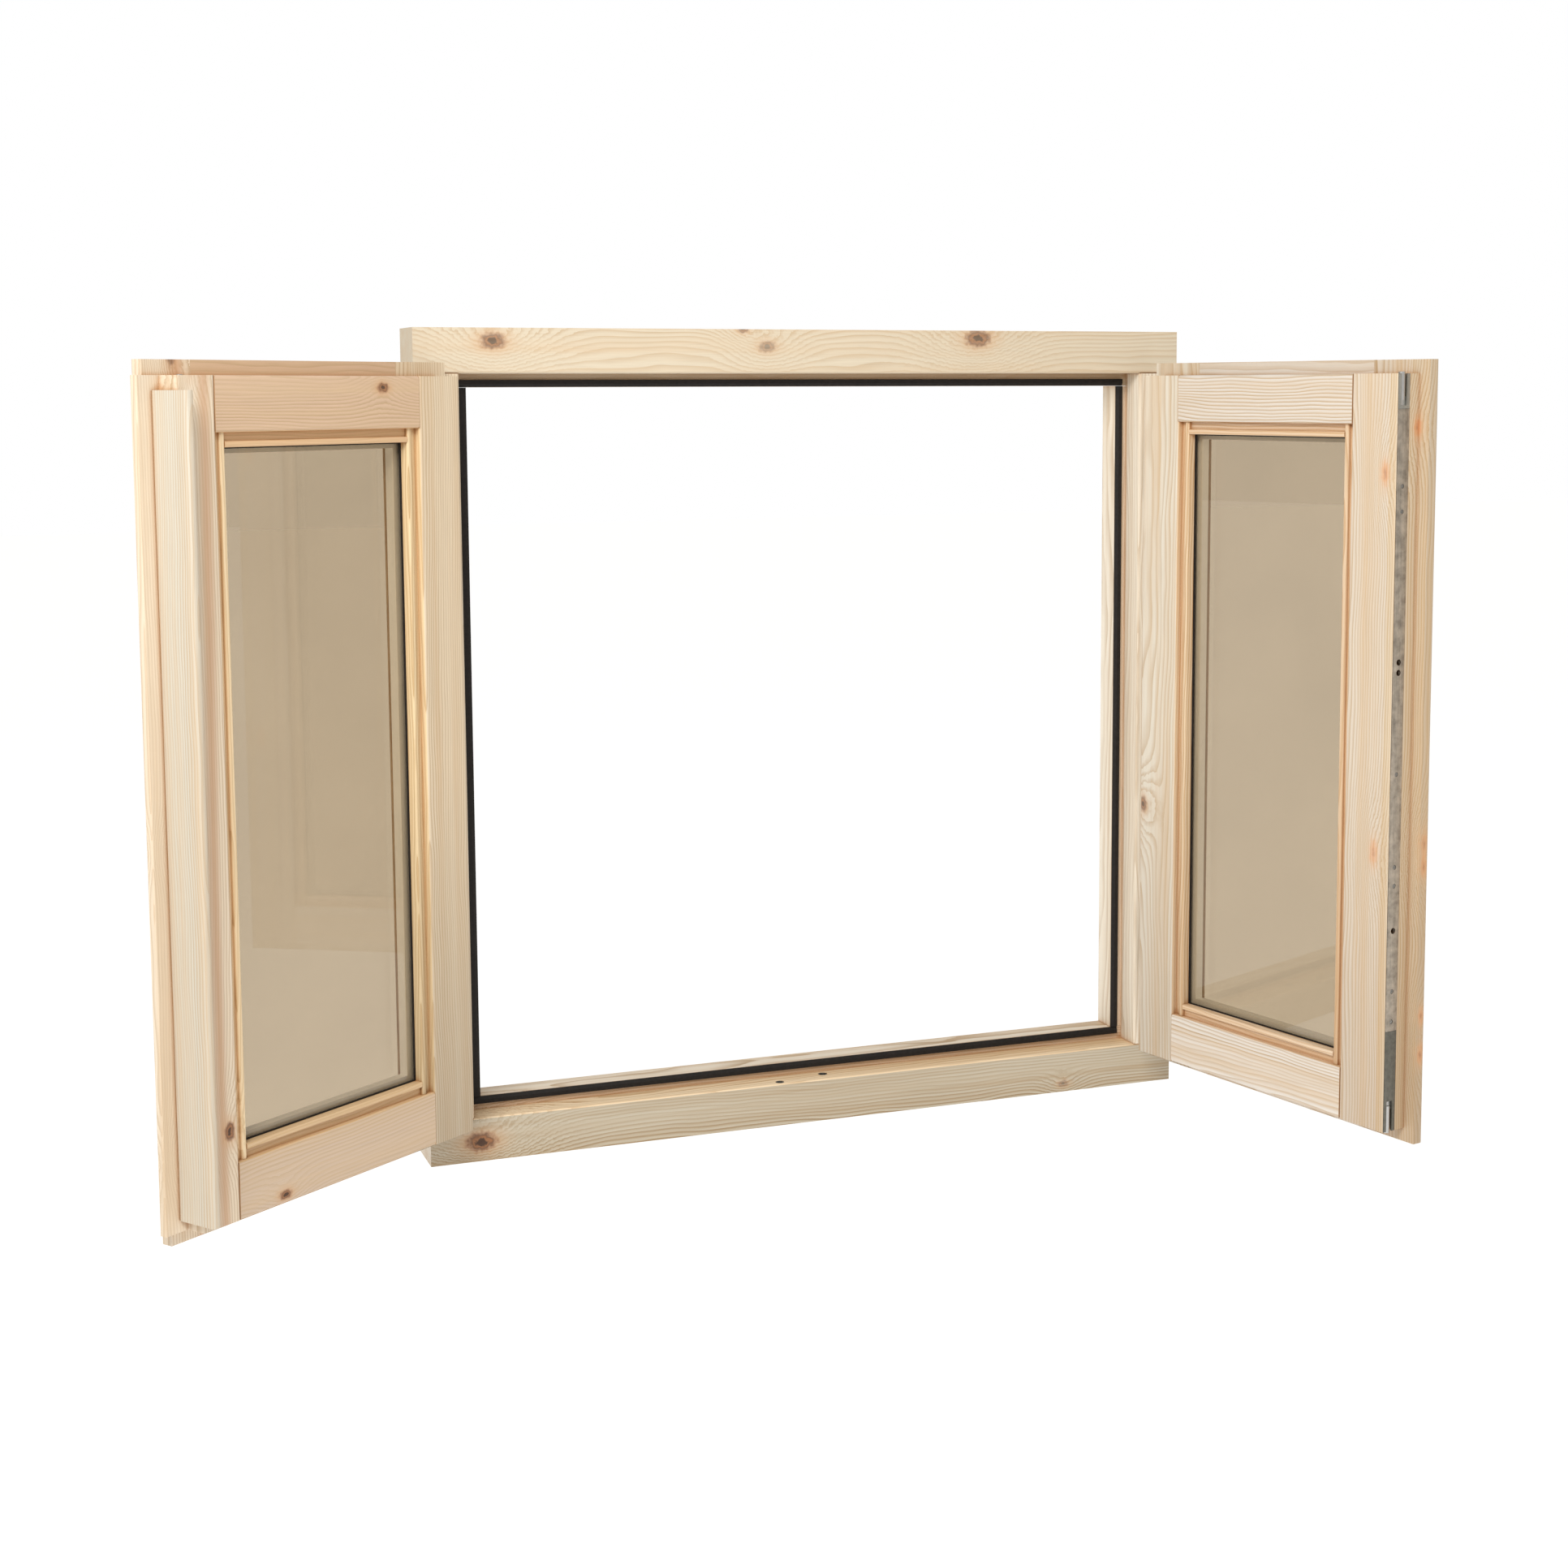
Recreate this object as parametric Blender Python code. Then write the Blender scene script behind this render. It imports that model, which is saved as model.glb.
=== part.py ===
"""Two-sash casement window in unfinished pine, opening inwards, both sashes standing open.

Metres, +Z up. X runs along the window, +Y points outdoors, -Y into the room.
The origin is the middle of the sill's underside. Each sash is drawn as if closed,
then turned about its hinge axis by the empty that carries it.
"""

import math

import bmesh
import bpy
from mathutils import Vector

# ---------------------------------------------------------------- driving sizes
GAP = 0.0003  # clearance between pieces that touch

FRAME_W = 1.000
FRAME_H = 1.000
FRAME_D = 0.076
FACE = 0.0535  # width of a frame member seen from the room
STOP = 0.016  # how far the outer stop stands into the opening
REBATE_D = 0.039  # depth of the rebate that takes the sash
SEAL_H = 0.0088  # frame seal, across the stop
SEAL_D = 0.0041  # frame seal, proud of the stop's shoulder
FRAME_ROUND = 0.003

CORE_D = 0.035  # sash thickness inside the frame's rebate
LIP_D = 0.0155  # thickness of the lip that lies over the frame's face
LIP = 0.016  # how far the lip reaches past the core
LIP_GAP = 0.001  # lip to frame face when closed
GAP_HINGE = 0.0035  # core to jamb, hinge side
GAP_TOP = 0.0035
GAP_SILL = 0.006
HINGE_STILE = 0.0655
ACTIVE_STILE = 0.071  # free stile of the right, first-opening sash
PASSIVE_STILE = 0.050  # free stile of the left sash
TOP_RAIL = 0.058
BOTTOM_RAIL = 0.062
SASH_ROUND = 0.003
CORE_CLEAR = 0.0035  # tongue of the left stile to the right sash's core

BAND_W = 0.009  # lowered band round the glass
BAND_V = 0.0085  # how deep it lies under the sash's outer face
NOSE_W = 0.0065  # raised bead between band and glass
NOSE_V = 0.0045
STOP_V = 0.015  # back of the fixed glass stop
PANE_T = 0.004
SPACER_T = 0.0114
GLASS_EDGE = 0.003  # glass edge to the rebate's wall
GASKET_T = 0.0017
GASKET_SHOW = 0.0015  # gasket seen past the stop
SPACER_SHOW = 0.0050  # spacer seen past the gasket
BEAD_W = 0.0165

TONGUE_OUT = 0.029  # left stile's tongue past its core, covered by the right sash's lip
TONGUE_V = 0.0253  # outer face of the tongue
LIP_CLEAR = 0.003  # left stile's room part to the right sash's lip
BATTEN_T = 0.0107
BATTEN_V = (-0.026, 0.0250)
BATTEN_CLEAR = 0.0025  # batten ends to the frame's stops
BATTEN_ROUND = 0.004

HINGE_OUT = 0.0084  # hinge axis past the lip's edge
HINGE_UP = 0.0114  # hinge axis off the frame's face
BARREL_R = 0.0065
BARREL_H = 0.036
HINGE_INSET = 0.130  # hinge centre from the sash's core end
HINGE_PIN_R = 0.0033

FACEPLATE_W = 0.018
FACEPLATE_T = 0.0025
FACEPLATE_V = 0.0105  # centre of the lock's faceplate across the sash
ROD_W = 0.010
ROD_T = 0.0025
ROD_TRAVEL = 0.016
BOLT_R = 0.0040
BOLT_S = 0.0046  # bolt's middle under the faceplate's face
BOLT_L = 0.030
BOLT_SHOW = 0.0020  # shoot bolt past the core's end when drawn back
BOLT_ROOM = 0.0006  # round a bolt in its socket
END_PIECE = 0.120  # lower end piece of the faceplate
TOP_PIECE = 0.040
CASE_Z = 0.440  # middle of the lock case
CASE_H = 0.110
CASE_W = 0.0120
CASE_DEEP = 0.034
SPINDLE = 0.007  # square of the handle's spindle
FOLLOWER_R = 0.0080
SPINDLE_SKIN = 0.0015  # wood left between the spindle's hole and the outer face
BACKSET = 0.024  # handle's axis from the sash's edge
HOLE_Z = (0.613, 0.601, 0.299)  # round holes for the handle's and lock's fixings
HOLE_R = 0.0036
HOLE_DEEP = 0.020
SCREW_Z = (0.815, 0.786, 0.483, 0.374, 0.352, 0.227, 0.191)
SCREW_R = 0.0027
SOCKET_WALL = 0.0012
SOCKET_L = 0.022

SLIDE_U = 0.026  # left sash's slide bolts, from the core's free edge
SLIDE_V = 0.0245
SLIDE_R = 0.0035
SLIDE_TRAVEL = 0.014
SLIDE_L = 0.080
SLIDE_NECK = 0.012  # wood left round the bolt at the core's end
STEM_W = 0.005
STEM_H = 0.008
KNOB_R = 0.006
KNOB_T = 0.006
COVER_W = 0.020
COVER_H = 0.110
COVER_T = 0.0018

OPEN_RIGHT = 102.76  # degrees from closed
OPEN_LEFT = 143.73

# ---------------------------------------------------------------- derived places
Y_IN = -FRAME_D / 2  # room face of the frame
V_ORIGIN = Y_IN + CORE_D - LIP_GAP  # outer face of a closed sash
SASH_D = CORE_D + LIP_D
CORE_X = FRAME_W / 2 - FACE - GAP_HINGE  # hinge-side edge of each core
CORE_Z0 = FACE + GAP_SILL
CORE_Z1 = FRAME_H - FACE - GAP_TOP
AXIS_X = CORE_X + LIP + HINGE_OUT
AXIS_Y = Y_IN - HINGE_UP
SPARE = CORE_CLEAR + TONGUE_OUT + 2 * HINGE_STILE + ACTIVE_STILE + PASSIVE_STILE
GLASS_W = (2 * CORE_X - SPARE) / 2  # opening in each sash, seen from outdoors
ACTIVE_W = HINGE_STILE + GLASS_W + ACTIVE_STILE
PASSIVE_W = HINGE_STILE + GLASS_W + PASSIVE_STILE
ROOM_OUT = TONGUE_OUT + CORE_CLEAR - LIP - LIP_CLEAR
BATTEN_Z0 = FACE + STOP + BATTEN_CLEAR
BATTEN_Z1 = FRAME_H - FACE - STOP - BATTEN_CLEAR
GASKET_V = STOP_V + GAP
PANE1_V = GASKET_V + GASKET_T + GAP
SPACER_V = PANE1_V + PANE_T + GAP
PANE2_V = SPACER_V + SPACER_T + GAP
BEAD_V = PANE2_V + PANE_T + GAP
ROD_S = FACEPLATE_T + GAP
GROOVE_DEEP = ROD_S + ROD_T + GAP
CASE_S = GROOVE_DEEP + GAP


# ---------------------------------------------------------------- scene helpers
def clear_scene():
    for found in list(bpy.data.objects):
        bpy.data.objects.remove(found, do_unlink=True)


def material(name, colour, roughness, metallic=0.0, transmission=0.0):
    made = bpy.data.materials.new(name)
    made.use_nodes = True
    shader = made.node_tree.nodes["Principled BSDF"]
    shader.inputs["Base Color"].default_value = (*colour, 1.0)
    shader.inputs["Roughness"].default_value = roughness
    shader.inputs["Metallic"].default_value = metallic
    shader.inputs["Transmission Weight"].default_value = transmission
    return made


def arc_corners(corners, segments=3):
    """Outline with each corner (a, b, radius) rounded by an arc; radius 0 stays sharp."""
    outline = []
    count = len(corners)
    for index, (a, b, radius) in enumerate(corners):
        here = Vector((a, b))
        if radius <= 0:
            outline.append(here)
            continue
        before = (Vector(corners[index - 1][:2]) - here).normalized()
        after = (Vector(corners[(index + 1) % count][:2]) - here).normalized()
        half = before.angle(after) / 2
        reach = radius / math.tan(half)
        centre = here + (before + after).normalized() * radius / math.sin(half)
        first = here + before * reach - centre
        last = here + after * reach - centre
        sweep = first.angle_signed(last)
        for step in range(segments + 1):
            turn = -sweep * step / segments
            cos, sin = math.cos(turn), math.sin(turn)
            spoke = Vector((first.x * cos - first.y * sin, first.x * sin + first.y * cos))
            outline.append(centre + spoke)
    return outline


def add_object(name, mesh, look, parent=None):
    made = bpy.data.objects.new(name, mesh)
    bpy.context.scene.collection.objects.link(made)
    if look:
        mesh.materials.append(look)
    if parent:
        made.parent = parent
    return made


def prism(name, outline, place, start, end, look=None, parent=None):
    """Extrudes an outline; place(a, b, c) turns outline and length into a point."""
    work = bmesh.new()
    rings = []
    for length in (start, end):
        rings.append([work.verts.new(place(point[0], point[1], length)) for point in outline])
    work.faces.new(rings[0])
    work.faces.new(list(reversed(rings[1])))
    count = len(outline)
    for index in range(count):
        other = (index + 1) % count
        work.faces.new((rings[0][index], rings[1][index], rings[1][other], rings[0][other]))
    bmesh.ops.recalc_face_normals(work, faces=work.faces)
    mesh = bpy.data.meshes.new(name)
    work.to_mesh(mesh)
    work.free()
    mesh.shade_smooth()
    mesh.set_sharp_from_angle(angle=math.radians(35))
    return add_object(name, mesh, look, parent)


def box(name, low, high, look=None, parent=None):
    outline = [(low[0], low[1]), (high[0], low[1]), (high[0], high[1]), (low[0], high[1])]
    return prism(name, outline, lambda a, b, c: (a, b, c), low[2], high[2], look, parent)


def circle(radius, centre=(0.0, 0.0), sides=24):
    turns = [2 * math.pi * index / sides for index in range(sides)]
    return [(centre[0] + radius * math.cos(t), centre[1] + radius * math.sin(t)) for t in turns]


def boolean(target, tool, operation):
    """Applies one exact Boolean and removes the tool."""
    step = target.modifiers.new(operation, "BOOLEAN")
    step.operation = operation
    step.solver = "EXACT"
    step.object = tool
    bpy.context.view_layer.update()
    evaluated = target.evaluated_get(bpy.context.evaluated_depsgraph_get())
    mesh = bpy.data.meshes.new_from_object(evaluated)
    old = target.data
    target.modifiers.remove(step)
    target.data = mesh
    mesh.name = target.name
    bpy.data.meshes.remove(old)
    bpy.data.objects.remove(tool, do_unlink=True)


def cut(target, *tools):
    for tool in tools:
        boolean(target, tool, "DIFFERENCE")


def join(target, *tools):
    for tool in tools:
        boolean(target, tool, "UNION")


# ---------------------------------------------------------------- frame
def frame_profile(grow=0.0):
    """(across, depth) outline of a frame member from its outer face to the opening."""
    face = FACE + grow
    stop = FACE + STOP + grow
    shoulder = REBATE_D - grow
    sharp = 0.0 if grow else FRAME_ROUND
    return arc_corners(
        [
            (0.0, -grow, 0.0),
            (face, -grow, sharp),
            (face, shoulder, 0.0),
            (stop, shoulder, 0.0),
            (stop, FRAME_D + grow, sharp),
            (0.0, FRAME_D + grow, 0.0),
        ]
    )


def along_head(a, b, c):
    return (c, Y_IN + b, FRAME_H - a)


def along_sill(a, b, c):
    return (c, Y_IN + b, a)


def along_jamb(side):
    return lambda a, b, c: (side * (FRAME_W / 2 - a), Y_IN + b, c)


def make_frame(pine):
    half = FRAME_W / 2
    prism("frame_head", frame_profile(), along_head, -half, half, pine)
    prism("frame_sill", frame_profile(), along_sill, -half, half, pine)
    for side, name in ((-1, "frame_jamb_left"), (1, "frame_jamb_right")):
        jamb = prism(name, frame_profile(), along_jamb(side), FACE / 2, FRAME_H - FACE / 2, pine)
        for place in (along_head, along_sill):
            cut(jamb, prism("cutter", frame_profile(GAP), place, -half - 0.01, half + 0.01))


def make_frame_seals(rubber):
    """A flat black strip on each stop, its lip standing towards the closed sash."""
    near = FACE + STOP - SEAL_H
    far = FACE + STOP - GAP
    back = REBATE_D - GAP
    front = REBATE_D - SEAL_D
    outline = [(near, back), (near, front), (near + SEAL_H * 0.55, front)]
    outline += [(far, front + SEAL_D * 0.45), (far, back)]
    run_x = FRAME_W / 2 - near
    run_z = near + SEAL_H + GAP
    prism("frame_seal_head", outline, along_head, -run_x, run_x, rubber)
    prism("frame_seal_sill", outline, along_sill, -run_x, run_x, rubber)
    for side, name in ((-1, "frame_seal_left"), (1, "frame_seal_right")):
        prism(name, outline, along_jamb(side), run_z, FRAME_H - run_z, rubber)


# ---------------------------------------------------------------- sash members
def sash_place(side):
    """Closed-sash coordinates (u from the hinge edge, v from the outer face, z), about the axis."""

    def place(u, v, z):
        return (side * (CORE_X - u - AXIS_X), V_ORIGIN - v - AXIS_Y, z)

    return place


def member_profile(width, grow=0.0, edge=None):
    """(s, v) outline of a sash member: s from the core's edge inwards, v from the outer face."""
    face = width + grow
    nose = width + BAND_W - grow
    last = width + BAND_W + NOSE_W + grow
    sharp = 0.0 if grow else SASH_ROUND
    small = 0.0 if grow else 0.0018
    if edge is None:
        edge = [(-LIP, SASH_D, sharp * 1.6), (-LIP, CORE_D, 0.0), (0.0, CORE_D, 0.0)]
    corners = [
        (0.0, -grow, sharp),
        (face, -grow, sharp),
        (face, BAND_V - grow, 0.0),
        (nose, BAND_V - grow, 0.0),
        (nose, NOSE_V - grow, small),
        (last, NOSE_V - grow, small),
        (last, STOP_V + grow, 0.0),
        (face, STOP_V + grow, 0.0),
        (face, SASH_D + (0.01 if grow else 0.0), sharp),
    ]
    return arc_corners(corners + edge)


def meeting_edge():
    """Free edge of the left stile: room part, then the tongue, then back to the core's edge."""
    return [
        (-ROOM_OUT, SASH_D, SASH_ROUND),
        (-ROOM_OUT, CORE_D - LIP_GAP + 0.0004, 0.0),
        (-TONGUE_OUT, CORE_D - LIP_GAP + 0.0004, 0.0015),
        (-TONGUE_OUT, TONGUE_V, 0.0015),
        (0.0, TONGUE_V, 0.0),
    ]


def stile_place(side, edge, inward):
    place = sash_place(side)
    return lambda s, v, z: place(edge + inward * s, v, z)


def rail_place(side, edge, inward):
    place = sash_place(side)
    return lambda s, v, u: place(u, v, edge + inward * s)


def block(side, us, vs, zs, parent):
    """A plain block given in closed-sash coordinates."""
    place = sash_place(side)
    outline = [(us[0], vs[0]), (us[1], vs[0]), (us[1], vs[1]), (us[0], vs[1])]
    return prism("block", outline, place, zs[0], zs[1], None, parent)


def make_stile(name, side, empty, pine, edge, inward, width, outer=None):
    """A full-height stile; above and below the core only the room part with its lip goes on."""
    place = stile_place(side, edge, inward)
    low, high = CORE_Z0 - LIP, CORE_Z1 + LIP
    stile = prism(name, member_profile(width, 0.0, outer), place, low, high, pine, empty)
    us = sorted((edge - inward * 0.05, edge + inward * (width + 0.05)))
    cut(stile, block(side, us, (-0.05, CORE_D), (low - 0.01, CORE_Z0), empty))
    cut(stile, block(side, us, (-0.05, CORE_D), (CORE_Z1, high + 0.01), empty))
    return stile


def make_rail(name, side, empty, pine, edge, inward, width, stiles):
    """A rail between two stiles, its moulding scribed over theirs."""
    faces = [stile_edge + stile_in * stile_w for stile_edge, stile_in, stile_w in stiles]
    place = rail_place(side, edge, inward)
    rail = prism(name, member_profile(width), place, min(faces), max(faces), pine, empty)
    for stile_edge, stile_in, stile_w in stiles:
        scribe = stile_place(side, stile_edge, stile_in)
        profile = member_profile(stile_w, GAP)
        cut(rail, prism("cutter", profile, scribe, CORE_Z0 - 0.05, CORE_Z1 + 0.05, None, empty))
        us = sorted((stile_edge + stile_in * (stile_w - 0.01), stile_edge + stile_in * (stile_w + BAND_W)))
        near = width + BAND_W - GAP
        zs = sorted((edge + inward * near, edge + inward * (near + NOSE_W + 0.001)))
        cut(rail, block(side, us, (-0.01, STOP_V + 0.001), zs, empty))
    return rail


def ring(name, side, empty, look, outer, inner, vs):
    """A flat rectangular frame in the glass's plane; outer and inner are (u0, u1, z0, z1)."""
    made = block(side, outer[:2], vs, outer[2:], empty)
    made.name = name
    made.data.name = name
    cut(made, block(side, inner[:2], (vs[0] - 0.01, vs[1] + 0.01), inner[2:], empty))
    made.data.materials.clear()
    made.data.materials.append(look)
    return made


def inset(area, amount):
    return (area[0] + amount, area[1] - amount, area[2] + amount, area[3] - amount)


def make_glass(side, label, empty, looks, area):
    """Sealed double unit with its seal, spacer and four room-side glazing beads."""
    edge = inset(area, GLASS_EDGE)
    seen = inset(area, BAND_W + NOSE_W + GASKET_SHOW)
    spacer = inset(area, BAND_W + NOSE_W + GASKET_SHOW + SPACER_SHOW)
    seal_vs = (GASKET_V, GASKET_V + GASKET_T)
    ring(f"{label}_glazing_seal", side, empty, looks["rubber"], edge, seen, seal_vs)
    for part, start in (("outer", PANE1_V), ("inner", PANE2_V)):
        pane = block(side, edge[:2], (start, start + PANE_T), edge[2:], empty)
        pane.name = f"{label}_pane_{part}"
        pane.data.name = pane.name
        pane.data.materials.append(looks["glass"])
    spacer_vs = (SPACER_V, SPACER_V + SPACER_T)
    spacer_edge = inset(edge, 0.003)
    ring(f"{label}_spacer", side, empty, looks["aluminium"], spacer_edge, spacer, spacer_vs)
    profile = arc_corners(
        [
            (GAP, BEAD_V, 0.0),
            (BEAD_W, BEAD_V, 0.0),
            (BEAD_W, BEAD_V + 0.004, 0.0),
            (BEAD_W * 0.45, SASH_D, 0.002),
            (GAP, SASH_D, 0.0),
        ]
    )
    u0, u1, z0, z1 = area
    for part, where, inward in (("bottom", z0, 1), ("top", z1, -1)):
        place = rail_place(side, where, inward)
        prism(f"{label}_bead_{part}", profile, place, u0 + GAP, u1 - GAP, looks["pine"], empty)
    for part, where, inward in (("hinge", u0, 1), ("free", u1, -1)):
        place = stile_place(side, where, inward)
        low, high = z0 + BEAD_W + GAP, z1 - BEAD_W - GAP
        prism(f"{label}_bead_{part}", profile, place, low, high, looks["pine"], empty)


def make_sash(side, label, empty, looks, core_w, free_stile, outer=None):
    """Stiles, rails and glass of one sash."""
    pine = looks["pine"]
    hinge = (0.0, 1, HINGE_STILE)
    free = (core_w, -1, free_stile)
    made = {}
    made["hinge"] = make_stile(f"{label}_stile_hinge", side, empty, pine, *hinge)
    made["free"] = make_stile(f"{label}_stile_free", side, empty, pine, *free, outer)
    for part, edge, inward, width in (
        ("top", CORE_Z1, -1, TOP_RAIL),
        ("bottom", CORE_Z0, 1, BOTTOM_RAIL),
    ):
        name = f"{label}_rail_{part}"
        made[part] = make_rail(name, side, empty, pine, edge, inward, width, (hinge, free))
    area = (HINGE_STILE, core_w - free_stile, CORE_Z0 + BOTTOM_RAIL, CORE_Z1 - TOP_RAIL)
    make_glass(side, label, empty, looks, area)
    return made


# ---------------------------------------------------------------- hinges
def upright(radius, centre, low, high, look=None, parent=None, name="rod", sides=24):
    place = lambda a, b, c: (a, b, c)
    return prism(name, circle(radius, centre, sides), place, low, high, look, parent)


def along_y(radius, centre, start, end, parent=None, sides=20):
    place = lambda a, b, c: (a, c, b)
    return prism("bar", circle(radius, centre, sides), place, start, end, None, parent)


def along_x(radius, centre, start, end, parent=None, sides=20):
    place = lambda a, b, c: (c, a, b)
    return prism("bar", circle(radius, centre, sides), place, start, end, None, parent)


def make_hinge(side, label, part, empty, steel, jamb, stile, middle):
    """Drill-in hinge: lower knuckle screwed into the frame, upper knuckle into the sash's lip."""
    axis = (side * AXIS_X, AXIS_Y)
    low = middle - BARREL_H
    fixed = upright(BARREL_R, axis, low, middle - GAP, steel, None, f"{label}_hinge_{part}_frame")
    pin_top = middle + BARREL_H * 0.75
    join(fixed, upright(HINGE_PIN_R, axis, middle - 0.004, pin_top, sides=20))
    stud_z = middle - BARREL_H / 2
    join(fixed, along_y(0.0034, (axis[0], stud_z), AXIS_Y + 0.002, Y_IN + 0.026))
    join(fixed, along_y(0.0058, (axis[0], stud_z), AXIS_Y + 0.004, Y_IN - GAP))
    cut(jamb, along_y(0.0034 + GAP, (axis[0], stud_z), Y_IN - 0.01, Y_IN + 0.027))

    name = f"{label}_hinge_{part}_sash"
    high = middle + BARREL_H
    swing = upright(BARREL_R, (0.0, 0.0), middle + GAP, high, steel, empty, name)
    stud_z = middle + BARREL_H / 2
    reach = HINGE_OUT - GAP
    spans = sorted((-side * 0.002, -side * (HINGE_OUT + 0.030)))
    join(swing, along_x(0.0030, (0.0, stud_z), *spans, empty))
    spans = sorted((-side * 0.004, -side * reach))
    join(swing, along_x(0.0046, (0.0, stud_z), *spans, empty))
    bore_top = pin_top + 0.001
    cut(swing, upright(HINGE_PIN_R + GAP, (0.0, 0.0), middle - 0.01, bore_top, None, empty))
    spans = sorted((-side * (HINGE_OUT - 0.01), -side * (HINGE_OUT + 0.031)))
    cut(stile, along_x(0.0030 + GAP, (0.0, stud_z), *spans, empty))


# ---------------------------------------------------------------- lock of the right sash
def lock_rod(us, vs):
    return [(us[0], vs[0]), (us[1], vs[0]), (us[1], vs[1]), (us[0], vs[1])]


def make_lock(side, empty, looks, stile):
    """Faceplate in the stile's edge, two rods with shoot bolts, case and handle follower."""
    steel = looks["steel"]
    place = stile_place(side, ACTIVE_W, -1)
    mid = FACEPLATE_V
    half = FACEPLATE_W / 2

    def bar(name, s0, s1, reach, z0, z1, look=None):
        outline = [(s0, mid - reach), (s1, mid - reach), (s1, mid + reach), (s0, mid + reach)]
        return prism(name, outline, place, z0, z1, look, empty)

    def peg(radius, s0, s1, z, look=None, sides=20):
        outline = circle(radius, (mid, z), sides)
        return prism("peg", outline, lambda v, h, s: place(s, v, h), s0, s1, look, empty)

    def bolt(low, high):
        outline = circle(BOLT_R, (BOLT_S, mid), 24)
        return prism("bolt", outline, place, low, high, None, empty)

    split = CORE_Z0 + END_PIECE
    split_top = CORE_Z1 - TOP_PIECE
    ends = (CORE_Z0 - 0.01, CORE_Z1 + 0.01)
    cut(stile, bar("cutter", -0.01, GROOVE_DEEP, half + GAP, *ends))
    deep = BOLT_S + BOLT_R + BOLT_ROOM
    side_room = BOLT_R + BOLT_ROOM
    run = BOLT_L + ROD_TRAVEL * 0.4
    for low, high in ((ends[0], CORE_Z0 + run), (CORE_Z1 - run, ends[1])):
        cut(stile, bar("cutter", GROOVE_DEEP - 0.001, deep, side_room, low, high))
    case_z = (CASE_Z - CASE_H / 2, CASE_Z + CASE_H / 2)
    back = CASE_S + CASE_DEEP
    cut(stile, bar("cutter", GROOVE_DEEP - 0.001, back + GAP, CASE_W / 2 + GAP,
                   case_z[0] - GAP, case_z[1] + GAP))
    tall = lambda s, z, v: place(s, v, z)
    spindle_at = circle(FOLLOWER_R, (BACKSET, CASE_Z), 28)
    cut(stile, prism("cutter", spindle_at, tall, SPINDLE_SKIN, SASH_D + 0.01, None, empty))

    upper = bar("lock_faceplate", 0.0, FACEPLATE_T, half, split + GAP, split_top - GAP, steel)
    lower = bar("lock_end_lower", 0.0, FACEPLATE_T, half, CORE_Z0, split, looks["dark_steel"])
    top = bar("lock_end_upper", 0.0, FACEPLATE_T, half, split_top, CORE_Z1, steel)
    slot = BOLT_R + BOLT_ROOM
    cut(lower, bar("cutter", -0.01, 0.01, slot, CORE_Z0 - 0.01, CORE_Z0 + run))
    cut(top, bar("cutter", -0.01, 0.01, slot, CORE_Z1 - run, CORE_Z1 + 0.01))
    for z in SCREW_Z:
        cut(upper, peg(SCREW_R, -0.01, 0.01, z))
    for z in HOLE_Z:
        cut(upper, peg(HOLE_R, -0.01, 0.01, z))
        cut(stile, peg(HOLE_R, 0.001, HOLE_DEEP, z))

    case = bar("lock_case", CASE_S, back, CASE_W / 2, *case_z, steel)
    bore = circle(FOLLOWER_R - 0.001 + GAP, (BACKSET, CASE_Z), 28)
    cut(case, prism("cutter", bore, tall, -0.01, SASH_D, None, empty))
    hub = circle(FOLLOWER_R - 0.001, (BACKSET, CASE_Z), 28)
    low_v, high_v = mid - CASE_W / 2, mid + CASE_W / 2
    follower = prism("lock_follower", hub, tall, low_v, high_v, steel, empty)
    side_half = SPINDLE / 2
    square = [(BACKSET - side_half, CASE_Z - side_half), (BACKSET + side_half, CASE_Z - side_half),
              (BACKSET + side_half, CASE_Z + side_half), (BACKSET - side_half, CASE_Z + side_half)]
    cut(follower, prism("cutter", square, tall, low_v - 0.01, high_v + 0.01, None, empty))

    reach = ROD_W / 2
    start = ROD_TRAVEL * 0.4
    rise = bar("lock_rod_upper", ROD_S, ROD_S + ROD_T, reach, CASE_Z + start,
               CORE_Z1 - BOLT_L + 0.004, steel)
    join(rise, bolt(CORE_Z1 - BOLT_L, CORE_Z1 + BOLT_SHOW))
    fall = bar("lock_rod_lower", ROD_S, ROD_S + ROD_T, reach, CORE_Z0 + BOLT_L - 0.004,
               CASE_Z - start, steel)
    join(fall, bolt(CORE_Z0 - BOLT_SHOW, CORE_Z0 + BOLT_L))
    for z in HOLE_Z:
        rod, way = (rise, -1) if z > CASE_Z else (fall, 1)
        room = HOLE_R - 0.0006
        zs = sorted((z - way * HOLE_R, z + way * (ROD_TRAVEL + HOLE_R)))
        cut(rod, bar("cutter", -0.01, 0.02, room, *zs))


def make_sockets(side, label, looks, head, sill, u, v, bolt_r):
    """Steel sleeves let into head and sill, which take a sash's bolts when it is shut."""
    x = side * (CORE_X - u)
    y = V_ORIGIN - v
    hole = bolt_r + BOLT_ROOM
    outer = hole + SOCKET_WALL
    for part, member, face, way in (("head", head, FRAME_H - FACE, 1), ("sill", sill, FACE, -1)):
        ends = sorted((face - way * 0.01, face + way * (SOCKET_L + GAP)))
        cut(member, upright(outer + GAP, (x, y), *ends))
        ends = sorted((face, face + way * SOCKET_L))
        name = f"{label}_socket_{part}"
        sleeve = upright(outer, (x, y), *ends, looks["steel"], None, name)
        cut(sleeve, upright(hole, (x, y), ends[0] - 0.01, ends[1] + 0.01))


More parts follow.
